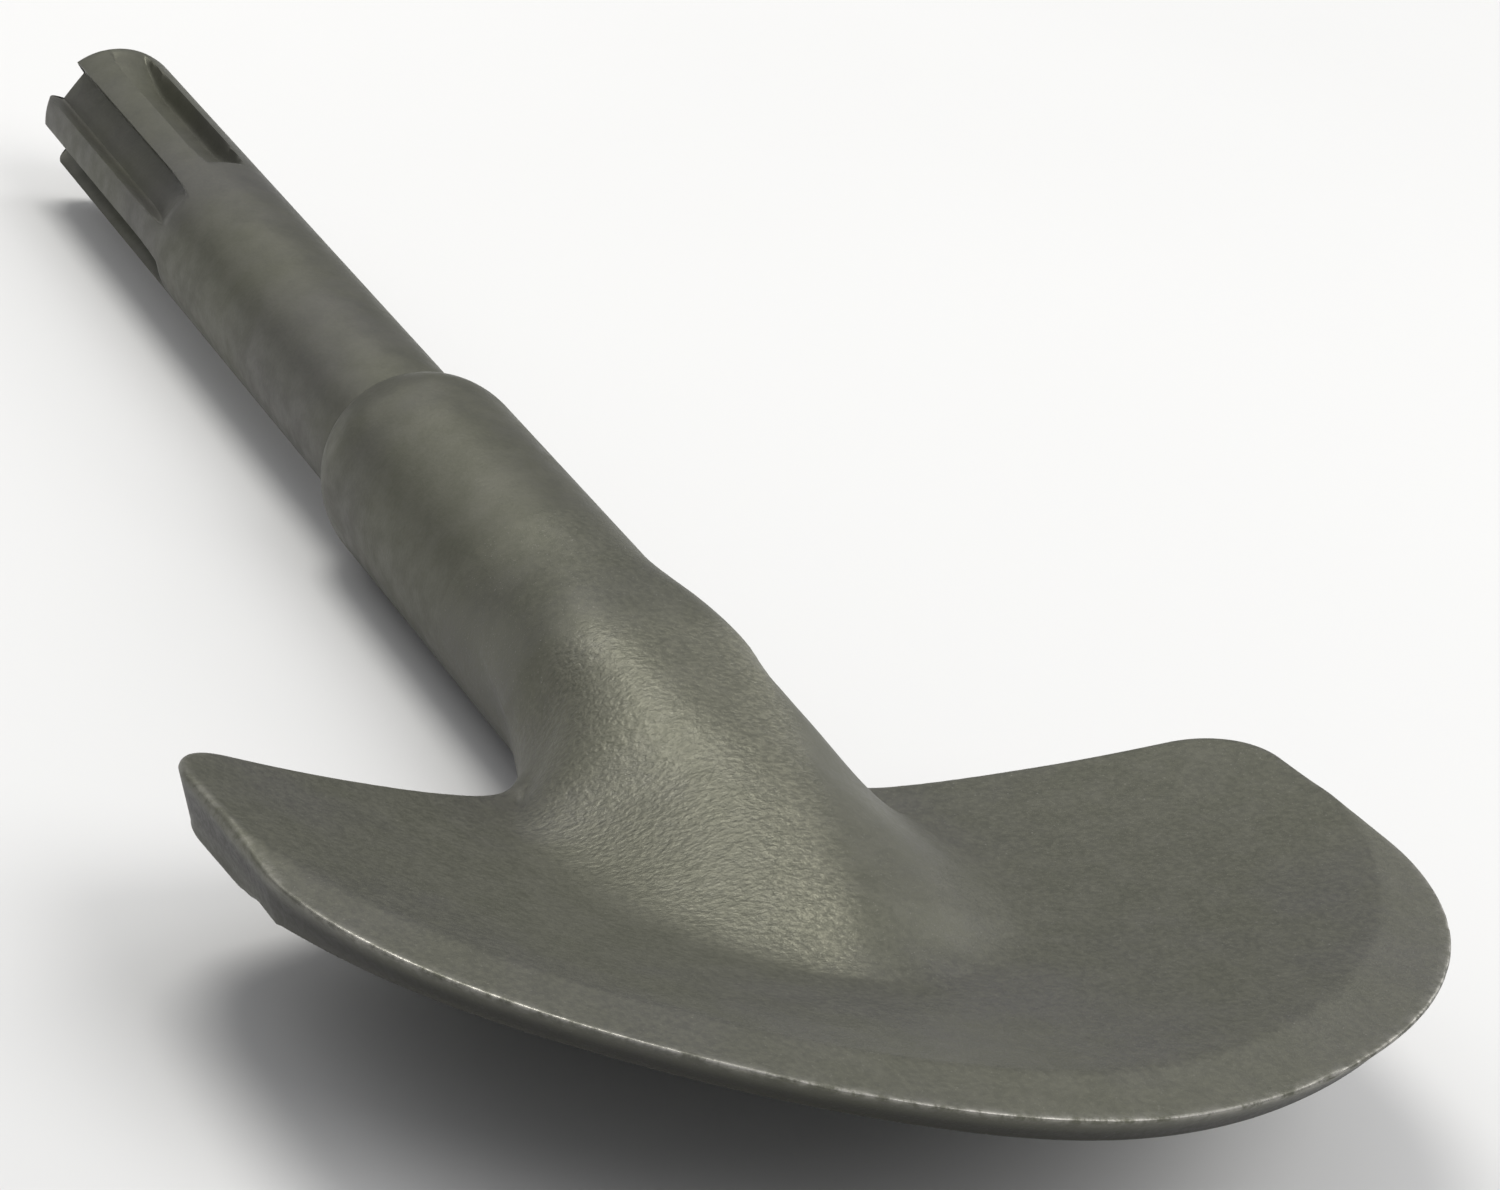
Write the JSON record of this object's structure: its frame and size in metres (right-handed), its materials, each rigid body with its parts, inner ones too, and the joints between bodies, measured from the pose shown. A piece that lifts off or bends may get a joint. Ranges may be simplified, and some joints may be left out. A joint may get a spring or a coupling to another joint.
{
  "type": "hammer scoop chisel",
  "caption": "Scoop chisel for a rotary demolition hammer: slotted 18 mm drive shank, round neck bar and a wide dished blade with a bevelled convex cutting edge.",
  "frame": {"origin": "centre of the shank's struck end face", "axes": "+X along the tool's axis from the struck end towards the blade, +Z the hollow side of the blade, +Y across the blade"},
  "size_m": [0.252, 0.1168, 0.026],
  "materials": {
    "shank_steel": "ground, hardened and phosphated, satin",
    "neck_steel": "turned and phosphated, satin",
    "blade_steel": "forged, shot-blasted and phosphated, matt"
  },
  "bodies": {
    "root": {"drive_shank": "shank_steel", "neck_bar": "neck_steel", "scoop_blade": "blade_steel"}
  },
  "joints": []
}
